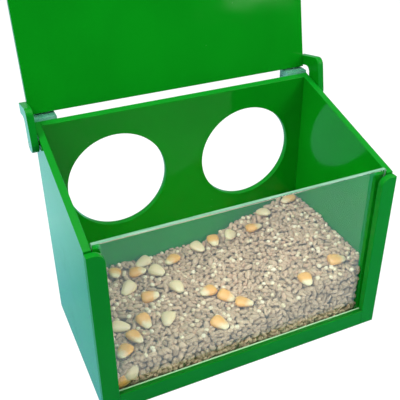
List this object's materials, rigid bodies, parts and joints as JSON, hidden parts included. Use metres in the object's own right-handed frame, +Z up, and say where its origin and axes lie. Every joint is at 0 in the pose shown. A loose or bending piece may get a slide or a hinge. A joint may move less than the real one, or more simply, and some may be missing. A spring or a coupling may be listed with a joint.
{
  "type": "pigeon feeder",
  "caption": "Open-topped feed bin of glossy sheet with round head holes in its tall back, a clear lift-out front window and a lid hinged on hooked side ears.",
  "frame": {"origin": "middle of the base, on the surface the feeder stands on", "axes": "+Z up, +X across to the right as seen from the window, -Y towards the window side, +Y towards the head holes"},
  "size_m": [0.2102, 0.135, 0.2278],
  "materials": {
    "green_sheet": "glossy saw-cut sheet",
    "clear_sheet": "clear sheet with polished faces and pale green cut edges",
    "clear_block": "translucent off-cut block",
    "pin_steel": "plain drawn wire",
    "mixed_grain": "dry husked grain",
    "maize": "waxy dry kernels, orange to cream"
  },
  "bodies": {
    "housing": {"floor_panel": "green_sheet", "back_panel": "green_sheet", "left_side_panel": "green_sheet", "right_side_panel": "green_sheet", "left_front_stile": "green_sheet", "right_front_stile": "green_sheet", "front_bottom_rail": "green_sheet", "left_window_guide": "green_sheet", "right_window_guide": "green_sheet", "left_hinge_pin": "pin_steel", "right_hinge_pin": "pin_steel", "left_stop_block": "clear_block", "right_stop_block": "clear_block", "feed_bed": "mixed_grain", "maize_kernels": "maize"},
    "lid": {"lid_panel": "green_sheet", "left_lid_ear": "green_sheet", "right_lid_ear": "green_sheet"},
    "window": {"front_window": "clear_sheet"}
  },
  "joints": [
    {"name": "lid_hinge", "type": "hinge", "parent": "housing", "child": "lid", "pos_m": [0, 0.048, 0.13876], "axis": [1, 0, 0], "range_deg": [0, 116.7]},
    {"name": "window_slide", "type": "slide", "parent": "housing", "child": "window", "axis": [0, 0, 1], "range_m": [0, 0.1]}
  ]
}
